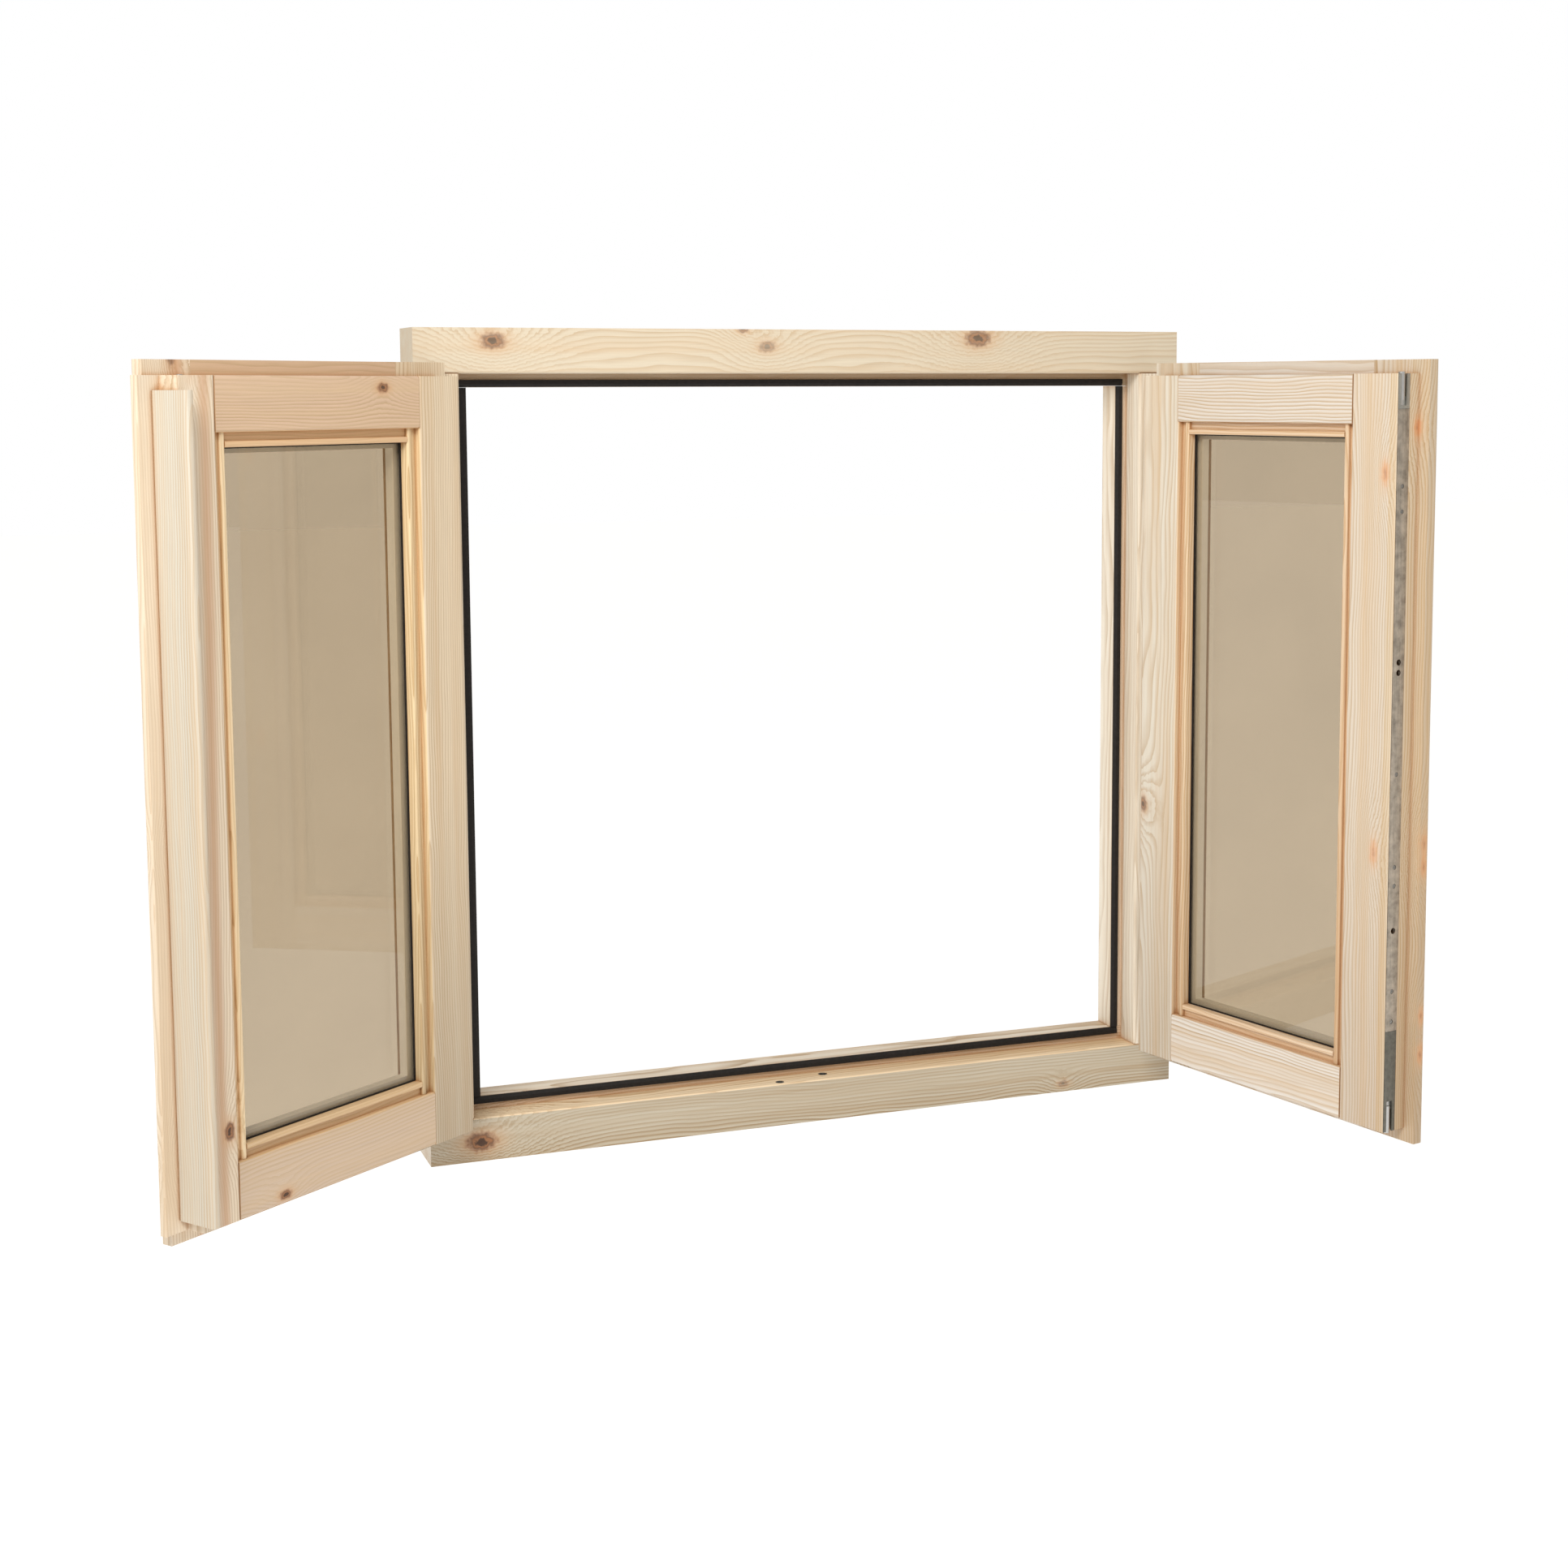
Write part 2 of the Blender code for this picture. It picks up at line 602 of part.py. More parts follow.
# ---------------------------------------------------------------- left sash's own parts
def make_batten(side, empty, pine):
    """Cover strip on the left sash's free edge, shorter than the sash to clear the stops."""
    low = PASSIVE_W + GAP
    high = PASSIVE_W + BATTEN_T
    corners = [
        (low, BATTEN_V[0], BATTEN_ROUND),
        (high, BATTEN_V[0], BATTEN_ROUND),
        (high, BATTEN_V[1], 0.0015),
        (low, BATTEN_V[1], 0.0),
    ]
    place = sash_place(side)
    prism("left_batten", arc_corners(corners), place, BATTEN_Z0, BATTEN_Z1, pine, empty)


def make_slide_bolts(side, empty, looks, stile):
    """Two hand bolts inside the left free stile, worked by knobs on the room face."""
    steel = looks["steel"]
    u = PASSIVE_W - SLIDE_U
    place = sash_place(side)
    room = SLIDE_R + BOLT_ROOM
    for part, end, way in (("top", CORE_Z1, -1), ("bottom", CORE_Z0, 1)):
        neck = end + way * SLIDE_NECK
        inner = end + way * (SLIDE_L + SLIDE_TRAVEL)
        zs = sorted((neck, inner))
        cut(stile, block(side, (u - room, u + room), (SLIDE_V - room, SASH_D + 0.01), zs, empty))
        zs = sorted((end - way * 0.01, neck + way * 0.002))
        bore = circle(room, (u, SLIDE_V), 24)
        cut(stile, prism("cutter", bore, place, *zs, None, empty))

        zs = sorted((end - way * 0.001, end + way * SLIDE_L))
        name = f"left_slide_bolt_{part}"
        bolt = prism(name, circle(SLIDE_R, (u, SLIDE_V)), place, *zs, steel, empty)
        knob_z = end + way * (SLIDE_L - 0.012)
        half = STEM_W / 2
        face = SASH_D + COVER_T + 2 * GAP
        zs = (knob_z - STEM_H / 2, knob_z + STEM_H / 2)
        join(bolt, block(side, (u - half, u + half), (SLIDE_V, face + 0.001), zs, empty))
        tall = lambda a, z, v: place(a, v, z)
        knob = circle(KNOB_R, (u, knob_z), 24)
        join(bolt, prism("knob", knob, tall, face + GAP, face + KNOB_T, None, empty))

        middle = (neck + inner) / 2
        zs = (middle - COVER_H / 2, middle + COVER_H / 2)
        vs = (SASH_D + GAP, SASH_D + GAP + COVER_T)
        cover = block(side, (u - COVER_W / 2, u + COVER_W / 2), vs, zs, empty)
        cover.name = f"left_bolt_cover_{part}"
        cover.data.name = cover.name
        cover.data.materials.append(steel)
        spans = (knob_z, knob_z - way * SLIDE_TRAVEL)
        zs = (min(spans) - STEM_H / 2 - BOLT_ROOM, max(spans) + STEM_H / 2 + BOLT_ROOM)
        slot = half + BOLT_ROOM
        cut(cover, block(side, (u - slot, u + slot), (SASH_D - 0.01, SASH_D + 0.01), zs, empty))


def sash_axis(name, side, opened):
    empty = bpy.data.objects.new(name, None)
    bpy.context.scene.collection.objects.link(empty)
    empty.location = (side * AXIS_X, AXIS_Y, 0.0)
    empty.rotation_euler = (0.0, 0.0, side * math.radians(opened))
    empty.empty_display_size = 0.05
    return empty


def main():
    clear_scene()
    looks = {
        "pine": material("pine", (0.80, 0.62, 0.42), 0.55),
        "rubber": material("black_rubber", (0.02, 0.018, 0.016), 0.7),
        "steel": material("galvanised_steel", (0.55, 0.54, 0.50), 0.4, 1.0),
        "dark_steel": material("dark_steel", (0.36, 0.35, 0.32), 0.45, 1.0),
        "aluminium": material("aluminium", (0.72, 0.72, 0.70), 0.35, 1.0),
        "glass": material("clear_glass", (0.85, 0.90, 0.86), 0.02, 0.0, 1.0),
    }
    make_frame(looks["pine"])
    make_frame_seals(looks["rubber"])
    frame = bpy.data.objects

    left = sash_axis("left_sash_axis", -1, OPEN_LEFT)
    right = sash_axis("right_sash_axis", 1, OPEN_RIGHT)
    bpy.context.view_layer.update()
    right_made = make_sash(1, "right", right, looks, ACTIVE_W, ACTIVE_STILE)
    left_made = make_sash(-1, "left", left, looks, PASSIVE_W, PASSIVE_STILE, meeting_edge())
    make_batten(-1, left, looks["pine"])
    make_slide_bolts(-1, left, looks, left_made["free"])
    make_lock(1, right, looks, right_made["free"])
    head, sill = frame["frame_head"], frame["frame_sill"]
    make_sockets(1, "right", looks, head, sill, ACTIVE_W - BOLT_S, FACEPLATE_V, BOLT_R)
    make_sockets(-1, "left", looks, head, sill, PASSIVE_W - SLIDE_U, SLIDE_V, SLIDE_R)
    for side, label, empty, made in ((-1, "left", left, left_made), (1, "right", right, right_made)):
        jamb = frame[f"frame_jamb_{label}"]
        for part, z in (("lower", CORE_Z0 + HINGE_INSET), ("upper", CORE_Z1 - HINGE_INSET)):
            make_hinge(side, label, part, empty, looks["steel"], jamb, made["hinge"], z)


main()
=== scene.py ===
import math

import bpy
from mathutils import Matrix, Vector


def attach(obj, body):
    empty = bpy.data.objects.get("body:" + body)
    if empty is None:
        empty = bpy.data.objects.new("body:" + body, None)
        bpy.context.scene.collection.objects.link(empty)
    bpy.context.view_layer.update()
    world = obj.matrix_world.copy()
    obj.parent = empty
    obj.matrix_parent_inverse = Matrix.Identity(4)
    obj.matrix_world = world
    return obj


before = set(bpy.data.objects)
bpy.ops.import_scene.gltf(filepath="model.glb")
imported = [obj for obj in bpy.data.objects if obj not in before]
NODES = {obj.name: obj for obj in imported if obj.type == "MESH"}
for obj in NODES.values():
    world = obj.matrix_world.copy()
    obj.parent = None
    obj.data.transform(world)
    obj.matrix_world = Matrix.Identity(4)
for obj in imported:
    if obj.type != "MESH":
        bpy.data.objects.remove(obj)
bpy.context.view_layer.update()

# ------------------------------------------------------------------ places
HINGE = {"right": Vector((0.4674, -0.0494, 0.0)), "left": Vector((-0.4674, -0.0494, 0.0))}
OPEN = {"right": 102.76, "left": -143.73}  # degrees each sash is turned from closed
SIDE = {"right": 1, "left": -1}
CORE_X = 0.443
V_ORIGIN = -0.004


def closed(side, u, v, z):
    """Closed-sash coordinates to the row frame with the sash still shut."""
    return Vector((SIDE[side] * (CORE_X - u), V_ORIGIN - v, z))


def swung(side):
    """Turns a shut sash to where it stands at rest."""
    axis = HINGE[side]
    turn = Matrix.Rotation(math.radians(OPEN[side]), 4, "Z")
    return Matrix.Translation(axis) @ turn @ Matrix.Translation(-axis)


# ------------------------------------------------------------------ node helpers
class Tree:
    """A small wrapper that makes shader nodes and links in one call."""

    def __init__(self, name):
        self.material = bpy.data.materials.new(name)
        self.material.use_nodes = True
        self.nodes = self.material.node_tree.nodes
        self.links = self.material.node_tree.links
        self.shader = self.nodes["Principled BSDF"]

    def put(self, socket, value):
        if isinstance(value, bpy.types.NodeSocket):
            self.links.new(value, socket)
        else:
            socket.default_value = value

    def math(self, operation, a, b=0.0, c=0.0, clamp=False):
        node = self.nodes.new("ShaderNodeMath")
        node.operation = operation
        node.use_clamp = clamp
        for socket, value in zip(node.inputs, (a, b, c)):
            self.put(socket, value)
        return node.outputs[0]

    def vector(self, operation, a, b=(0, 0, 0)):
        node = self.nodes.new("ShaderNodeVectorMath")
        node.operation = operation
        self.put(node.inputs[0], a)
        self.put(node.inputs[1], b)
        return node.outputs["Value" if operation in ("LENGTH", "DISTANCE") else "Vector"]

    def noise(self, vector, scale, detail=2.0, rough=0.5, distort=0.0):
        node = self.nodes.new("ShaderNodeTexNoise")
        self.put(node.inputs["Vector"], vector)
        node.inputs["Scale"].default_value = scale
        node.inputs["Detail"].default_value = detail
        node.inputs["Roughness"].default_value = rough
        node.inputs["Distortion"].default_value = distort
        return node.outputs["Fac"]

    def ramp(self, value, stops, mode="LINEAR"):
        node = self.nodes.new("ShaderNodeValToRGB")
        node.color_ramp.interpolation = mode
        elements = node.color_ramp.elements
        while len(elements) < len(stops):
            elements.new(0.5)
        for element, (place, colour) in zip(elements, stops):
            element.position = place
            element.color = colour if len(colour) == 4 else (*colour, 1.0)
        self.put(node.inputs[0], value)
        return node.outputs[0]

    def mix(self, amount, a, b, blend="MIX"):
        node = self.nodes.new("ShaderNodeMix")
        node.data_type = "RGBA"
        node.blend_type = blend
        node.clamp_factor = True
        self.put(node.inputs[0], amount)
        self.put(node.inputs[6], a if isinstance(a, bpy.types.NodeSocket) else (*a, 1.0))
        self.put(node.inputs[7], b if isinstance(b, bpy.types.NodeSocket) else (*b, 1.0))
        return node.outputs[2]

    def bump(self, height, strength, distance):
        node = self.nodes.new("ShaderNodeBump")
        node.inputs["Strength"].default_value = strength
        node.inputs["Distance"].default_value = distance
        self.put(node.inputs["Height"], height)
        return node.outputs["Normal"]


def grey(value):
    return (value, value, value)


# ------------------------------------------------------------------ pine
PALE = (0.70, 0.595, 0.45)
WARM = (0.47, 0.325, 0.185)
HONEY = (0.60, 0.43, 0.26)
RED = (0.55, 0.31, 0.17)
DUSKY = (0.44, 0.36, 0.25)
KNOT_CORE = (0.07, 0.030, 0.014)
KNOT_MID = (0.33, 0.14, 0.055)
KNOT_RING = (0.15, 0.060, 0.024)
KNOT_HALO = (0.56, 0.30, 0.13)


def pine(
    name, side, grain, seed, knots=(), pith=(0.03, 0.09), tone=PALE, streaks=(), rings=0.0034,
    contrast=2.1, shade_foot=None, shade_and_glow_patches=(), red_knots=False,
):
    """Bare planed pine. grain is the axis the fibres run along, before the sash is turned.

    knots are (x, y, z, radius, strength) in the row frame with the sash shut.
    streaks are (x, y, half width, strength): reddish heartwood running with the grain.
    foot multiplies the colour at a tall board's lower end and fades out halfway up: painted shade.
    patches are (low corner, high corner, multiplier): painted shade and painted warm bounce light on chosen
    faces.
    foot and patches are painted light and shade, not the wood's own colour.
    """
    t = Tree(name)
    coords = t.nodes.new("ShaderNodeTexCoord").outputs["Object"]
    if side:
        turn = t.nodes.new("ShaderNodeVectorRotate")
        turn.rotation_type = "Z_AXIS"
        t.put(turn.inputs["Vector"], coords)
        turn.inputs["Center"].default_value = HINGE[side]
        turn.inputs["Angle"].default_value = -math.radians(OPEN[side])
        coords = turn.outputs[0]
    split = t.nodes.new("ShaderNodeSeparateXYZ")
    t.put(split.inputs[0], coords)
    x, y, z = split.outputs
    plan = (x, y, z)
    if grain == "X":
        x, z = z, x
    # grain runs along z from here on; x and y are across it
    board = t.nodes.new("ShaderNodeCombineXYZ")
    for socket, value in zip(board.inputs, (x, y, z)):
        t.put(socket, value)
    board = board.outputs[0]
    slow = t.vector("MULTIPLY", board, (7.0, 7.0, 1.6))
    slow = t.vector("ADD", slow, (seed * 1.37, seed * 2.11, seed * 0.73))
    drift = t.math("MULTIPLY", t.math("SUBTRACT", t.noise(slow, 1.0, 3.0, 0.5), 0.5), 0.040)
    ripple = t.vector("ADD", t.vector("MULTIPLY", board, (30, 30, 9.0)), grey(seed * 3.1))
    drift2 = t.math("MULTIPLY", t.math("SUBTRACT", t.noise(ripple, 1.0, 2.0), 0.5), 0.0045)
    cross = t.nodes.new("ShaderNodeCombineXYZ")
    t.put(cross.inputs[0], t.math("SUBTRACT", x, pith[0]))
    t.put(cross.inputs[1], t.math("SUBTRACT", y, pith[1]))
    radius = t.vector("LENGTH", cross.outputs[0])
    radius = t.math("ADD", t.math("ADD", radius, drift), drift2)

    spots = []
    for kx, ky, kz, size, strength in knots:
        if grain == "X":
            kx, kz = kz, kx
        stretch = (1.0, 1.0, 0.40 if red_knots else 0.62)
        away = t.vector("MULTIPLY", t.vector("SUBTRACT", board, (kx, ky, kz)), stretch)
        distance = t.vector("LENGTH", away)
        rough = t.math("MULTIPLY", t.math("SUBTRACT", t.noise(board, 190.0, 3.0), 0.5), size * 0.7)
        distance = t.math("DIVIDE", t.math("ADD", distance, rough), size)
        pull = t.math("EXPONENT", t.math("MULTIPLY", t.math("POWER", distance, 2.0), -0.11))
        radius = t.math("ADD", radius, t.math("MULTIPLY", pull, size * 1.9))
        spots.append((distance, strength))

    phase = t.math("DIVIDE", radius, rings)
    season = t.math("FRACT", phase)
    late = t.ramp(
        season,
        ((0.0, grey(0.55)), (0.06, grey(0.08)), (0.45, grey(0.12)), (0.82, grey(0.70)), (1.0, grey(1.0))),
    )
    year = t.noise(t.vector("ADD", t.vector("MULTIPLY", cross.outputs[0], grey(30)), grey(seed)), 1.0)
    late = t.math("MULTIPLY", late, t.math("MULTIPLY_ADD", year, 1.9, -0.32, clamp=True))
    fibre_at = t.vector("MULTIPLY", board, (1400.0, 1400.0, 22.0))
    fibre = t.noise(fibre_at, 1.0, 2.0, 0.6)
    streak_at = t.vector("ADD", t.vector("MULTIPLY", board, (70.0, 70.0, 1.3)), grey(seed * 5.3))
    streak = t.noise(streak_at, 1.0, 3.0, 0.6)
    colour = t.mix(t.math("MULTIPLY", late, 0.62 * contrast, clamp=True), tone, WARM)
    warmth = t.math("MULTIPLY_ADD", streak, 1.1 * contrast, -0.46 * contrast, clamp=True)
    colour = t.mix(warmth, colour, HONEY)
    cloud_at = t.vector("ADD", t.vector("MULTIPLY", board, (26.0, 26.0, 4.5)), grey(seed * 1.9))
    cloud = t.noise(cloud_at, 1.0, 3.0, 0.6)
    cloud = t.math("MULTIPLY_ADD", cloud, 0.30 * contrast, -0.16 * contrast, clamp=True)
    colour = t.mix(cloud, colour, DUSKY)
    for sx, sy, half, strength in streaks:
        wander = t.math("MULTIPLY", t.math("SUBTRACT", t.noise(slow, 0.8, 2.0), 0.5), half * 2.2)
        across = t.math("ABSOLUTE", t.math("ADD", t.math("SUBTRACT", x, sx), wander))
        band = t.math("SUBTRACT", 1.0, t.math("DIVIDE", across, half), clamp=True)
        band = t.math("MULTIPLY", t.math("POWER", band, 0.7), strength)
        colour = t.mix(band, colour, RED)
    dark = t.math("MULTIPLY", t.math("SUBTRACT", fibre, 0.5), 0.22)
    shade = t.math("SUBTRACT", 1.0, dark)
    tint = t.nodes.new("ShaderNodeCombineColor")
    for socket in tint.inputs[:3]:
        t.put(socket, shade)
    colour = t.mix(1.0, colour, tint.outputs[0], "MULTIPLY")
    # painted shade: a tall board is darker at its lower end, fading out halfway up
    if shade_foot:
        fade = t.math("DIVIDE", t.math("SUBTRACT", plan[2], 0.04), 0.46, clamp=True)
        colour = t.mix(1.0, colour, t.mix(fade, shade_foot, (1.0, 1.0, 1.0)), "MULTIPLY")
    # painted shade and painted warm bounce light inside each listed box
    for low, high, factor in shade_and_glow_patches:
        inside = None
        for socket, a, b in zip(plan, low, high):
            off = t.math("ABSOLUTE", t.math("SUBTRACT", socket, (a + b) / 2))
            within = t.math("LESS_THAN", off, abs(b - a) / 2)
            inside = within if inside is None else t.math("MULTIPLY", inside, within)
        colour = t.mix(1.0, colour, t.mix(inside, (1.0, 1.0, 1.0), factor), "MULTIPLY")
    for distance, strength in spots:
        reach = t.math("DIVIDE", distance, 1.9)
        cover = t.ramp(
            reach,
            ((0.0, grey(1.0)), (0.26, grey(0.95)), (0.38, grey(0.70)), (0.52, grey(0.34)), (0.75, grey(0.12)),
             (1.0, grey(0.0))),
        )
        heart = t.ramp(
            reach,
            ((0.0, KNOT_CORE), (0.12, KNOT_CORE), (0.19, KNOT_MID), (0.29, KNOT_RING), (0.38, KNOT_MID),
             (0.50, KNOT_HALO), (1.0, KNOT_HALO)),
        )
        if red_knots:
            heart = t.ramp(
                reach,
                ((0.0, (0.42, 0.15, 0.05)), (0.2, (0.66, 0.31, 0.13)), (0.5, (0.68, 0.38, 0.19)),
                 (1.0, (0.70, 0.46, 0.26))),
            )
        colour = t.mix(t.math("MULTIPLY", cover, strength), colour, heart)
    # painted shade: inner corners and recesses are darkened and warmed through an occlusion mask
    corner = t.nodes.new("ShaderNodeAmbientOcclusion")
    corner.samples = 4
    corner.inputs["Distance"].default_value = 0.009
    depth = t.math("MULTIPLY_ADD", corner.outputs["AO"], -2.2, 1.75, clamp=True)
    colour = t.mix(1.0, colour, t.mix(depth, (1.0, 1.0, 1.0), (0.70, 0.46, 0.27)), "MULTIPLY")
    t.put(t.shader.inputs["Base Color"], colour)
    gloss = t.math("MULTIPLY_ADD", late, -0.10, 0.52)
    t.put(t.shader.inputs["Roughness"], gloss)
    t.shader.inputs["Specular IOR Level"].default_value = 0.35
    height = t.math("ADD", t.math("MULTIPLY", fibre, 0.5), t.math("MULTIPLY", late, 0.6))
    t.put(t.shader.inputs["Normal"], t.bump(height, 0.16, 0.0004))
    return t.material


# ------------------------------------------------------------------ other materials
def metal(name, colour, rough, blotch=0.12, grain=400.0, scale=180.0):
    t = Tree(name)
    coords = t.nodes.new("ShaderNodeTexCoord").outputs["Object"]
    spangle = t.noise(coords, scale, 3.0, 0.65)
    brushed = t.noise(t.vector("MULTIPLY", coords, (grain, grain, 18.0)), 1.0, 2.0)
    mixed = t.math("ADD", t.math("MULTIPLY", spangle, 0.7), t.math("MULTIPLY", brushed, 0.3))
    low = tuple(c * (1 - blotch * 1.6) for c in colour)
    high = tuple(min(1.0, c * (1 + blotch)) for c in colour)
    t.put(t.shader.inputs["Base Color"], t.ramp(mixed, ((0.3, low), (0.7, high))))
    t.put(t.shader.inputs["Roughness"], t.math("MULTIPLY_ADD", mixed, 0.22, rough - 0.1))
    t.shader.inputs["Metallic"].default_value = 1.0
    t.put(t.shader.inputs["Normal"], t.bump(mixed, 0.12, 0.0002))
    return t.material


def rubber(name, colour):
    t = Tree(name)
    coords = t.nodes.new("ShaderNodeTexCoord").outputs["Object"]
    dust = t.noise(coords, 260.0, 4.0, 0.65)
    high = tuple(c * 2.0 + 0.004 for c in colour)
    t.shader.inputs["Specular IOR Level"].default_value = 0.25
    t.put(t.shader.inputs["Base Color"], t.ramp(dust, ((0.35, colour), (0.85, high))))
    t.put(t.shader.inputs["Roughness"], t.math("MULTIPLY_ADD", dust, 0.2, 0.5))
    t.put(t.shader.inputs["Normal"], t.bump(dust, 0.2, 0.0002))
    return t.material


def glass(name, tint):
    """A pane that lets light straight through, tinted, with a reflection that grows at a slant."""
    t = Tree(name)
    clear = t.nodes.new("ShaderNodeBsdfTransparent")
    coords = t.nodes.new("ShaderNodeTexCoord").outputs["Object"]
    film = t.noise(coords, 7.0, 2.0, 0.5)
    low = tuple(c * 0.985 for c in tint)
    t.put(clear.inputs["Color"], t.ramp(film, ((0.3, low), (0.7, tint))))
    shine = t.nodes.new("ShaderNodeBsdfGlossy")
    shine.inputs["Roughness"].default_value = 0.015
    shine.inputs["Color"].default_value = (1.0, 1.0, 1.0, 1.0)
    slant = t.nodes.new("ShaderNodeFresnel")
    slant.inputs["IOR"].default_value = 1.5
    inside = t.nodes.new("ShaderNodeNewGeometry").outputs["Backfacing"]
    amount = t.math("MULTIPLY", slant.outputs[0], t.math("SUBTRACT", 1.0, inside))
    both = t.nodes.new("ShaderNodeMixShader")
    t.put(both.inputs[0], amount)
    t.put(both.inputs[1], clear.outputs[0])
    t.put(both.inputs[2], shine.outputs[0])
    output = t.nodes["Material Output"]
    t.put(output.inputs["Surface"], both.outputs[0])
    t.nodes.remove(t.shader)
    return t.material


def plain(name, colour, rough):
    t = Tree(name)
    t.shader.inputs["Base Color"].default_value = (*colour, 1.0)
    t.shader.inputs["Roughness"].default_value = rough
    return t.material


STEEL = metal("galvanised_steel", (0.42, 0.41, 0.37), 0.42)
PLATE = metal("faceplate_steel", (0.47, 0.415, 0.345), 0.42, 0.30, 400.0, 75.0)
DARK_STEEL = metal("dull_steel", (0.20, 0.195, 0.17), 0.5, 0.2)
PLATED = metal("plated_steel", (0.55, 0.54, 0.52), 0.3, 0.05)
ALUMINIUM = metal("spacer_aluminium", (0.90, 0.90, 0.88), 0.6, 0.04)
ALUMINIUM.node_tree.nodes["Principled BSDF"].inputs["Metallic"].default_value = 0.25
RUBBER = rubber("black_seal", (0.009, 0.007, 0.006))
GLASS = glass("window_glass", (0.840, 0.793, 0.720))


# ------------------------------------------------------------------ what each node is made of
def kn(side, u, v, z, radius, strength=1.0):
    """A knot in closed-sash coordinates."""
    return (*closed(side, u, v, z), radius, strength)


ROOM_Y = -0.038
# ROOM_FACE and REBATE bound the sill's painted-light patches: painted shade on the room face, painted warm
# bounce light in the rebate
ROOM_FACE = ((-0.6, -0.0390, -0.1), (0.6, -0.0376, 1.1))
REBATE = ((-0.4995, -0.0376, -0.1), (0.4995, 0.0, 1.1))
PINE_LOOKS = {
    "frame_head": dict(
        grain="X", seed=1.0, pith=(0.93, 0.05), tone=(0.640, 0.560, 0.430), contrast=1.2,
        knots=(
            (-0.406, ROOM_Y, 0.9845, 0.0125, 0.84), (-0.066, ROOM_Y, 0.979, 0.009, 0.57),
            (0.216, ROOM_Y, 0.990, 0.014, 0.84), (-0.097, ROOM_Y, 1.0, 0.006, 0.68),
        ),
    ),
    "frame_sill": dict(
        grain="X", seed=4.0, pith=(-0.055, 0.02), tone=(0.820, 0.740, 0.620),
        # painted shade on the sill's room face, painted warm bounce light in its rebate
        shade_and_glow_patches=((*ROOM_FACE, (0.625, 0.610, 0.560)), (*REBATE, (1.12, 1.02, 0.86))),
        knots=((-0.4388, ROOM_Y, 0.0239, 0.0150, 1.00), (0.342, ROOM_Y, 0.0109, 0.006, 0.54)),
    ),
    "frame_jamb_left": dict(grain="Z", seed=7.0, pith=(-0.62, 0.05)),
    "frame_jamb_right": dict(
        grain="Z", seed=9.0, pith=(0.66, 0.10), tone=(0.850, 0.780, 0.660), contrast=1.4,
    ),
    # each foot below is painted shade at the stile's lower end
    "left_stile_hinge": dict(
        grain="Z", seed=12.0, pith=(-0.30, 0.06), tone=(0.720, 0.600, 0.440), shade_foot=(0.69, 0.69, 0.69),
    ),
    "left_stile_free": dict(
        grain="Z", seed=15.0, pith=(0.10, 0.03), tone=(0.790, 0.675, 0.530), contrast=1.8,
        knots=(
            kn("left", 0.378, 0.0, 0.158, 0.0085, 1.00), kn("left", 0.4295, 0.040, 0.4595, 0.007, 0.94),
            kn("left", 0.4295, 0.040, 0.140, 0.008, 0.81), kn("left", 0.391, 0.040, 0.959, 0.009, 0.81),
            kn("left", 0.398, 0.005, 0.943, 0.006, 0.68),
        ),
        streaks=((closed("left", 0.384, 0, 0).x, 0.0, 0.009, 0.65),),
    ),
    "left_rail_top": dict(
        grain="X", seed=18.0, pith=(1.02, 0.06), tone=(0.630, 0.445, 0.310),
        knots=(kn("left", 0.123, 0.0, 0.930, 0.007, 0.94),),
    ),
    "left_rail_bottom": dict(
        grain="X", seed=21.0, pith=(0.02, 0.05), tone=(0.590, 0.455, 0.340),
        knots=(kn("left", 0.302, 0.0, 0.0685, 0.007, 1.00),),
    ),
    "left_batten": dict(grain="Z", seed=24.0, pith=(-0.055, 0.12), tone=(0.610, 0.575, 0.490), contrast=1.5),
    "right_stile_hinge": dict(
        grain="Z", seed=27.0, pith=(0.46, 0.10), tone=(0.700, 0.645, 0.545), shade_foot=(0.82, 0.80, 0.79),
        knots=(kn("right", 0.006, 0.0, 0.389, 0.0085, 0.81),),
    ),
    "right_stile_free": dict(
        grain="Z", seed=30.0, pith=(0.12, 0.06), tone=(0.670, 0.590, 0.490), shade_foot=(0.86, 0.83, 0.81),
        red_knots=True,
        # painted shade: the free edge's core face and lip face are darkened and warmed
        shade_and_glow_patches=(
            (closed("right", 0.4260, 0.0, -0.1), closed("right", 0.4800, 0.0345, 1.1), (0.98, 0.93, 0.83)),
            (closed("right", 0.4260, 0.0345, -0.1), closed("right", 0.4800, 0.060, 1.1), (0.91, 0.86, 0.77)),
        ),
        knots=(
            kn("right", 0.4205, 0.0, 0.829, 0.0075, 0.68), kn("right", 0.414, 0.0, 0.389, 0.008, 0.61),
            kn("right", 0.4375, 0.032, 0.882, 0.006, 0.74), kn("right", 0.4535, 0.042, 0.400, 0.008, 0.61),
            kn("right", 0.4535, 0.042, 0.374, 0.007, 0.68), kn("right", 0.4535, 0.043, 0.196, 0.006, 0.68),
            kn("right", 0.4535, 0.043, 0.150, 0.007, 0.68),
        ),
    ),
    "right_rail_top": dict(grain="X", seed=33.0, pith=(0.99, 0.05), tone=(0.690, 0.640, 0.575)),
    "right_rail_bottom": dict(grain="X", seed=36.0, pith=(0.02, 0.06), tone=(0.720, 0.670, 0.610)),
}
# painted warm bounce light: the reveals round each pane are brightened and warmed
REVEAL_GLOW = {"left": (1.08, 1.02, 0.86), "right": (1.04, 0.89, 0.72)}
REVEAL_LOW = (0.0495, 0.0011, 0.1055)
REVEAL_HIGH = (0.3823, 0.0300, 0.9010)


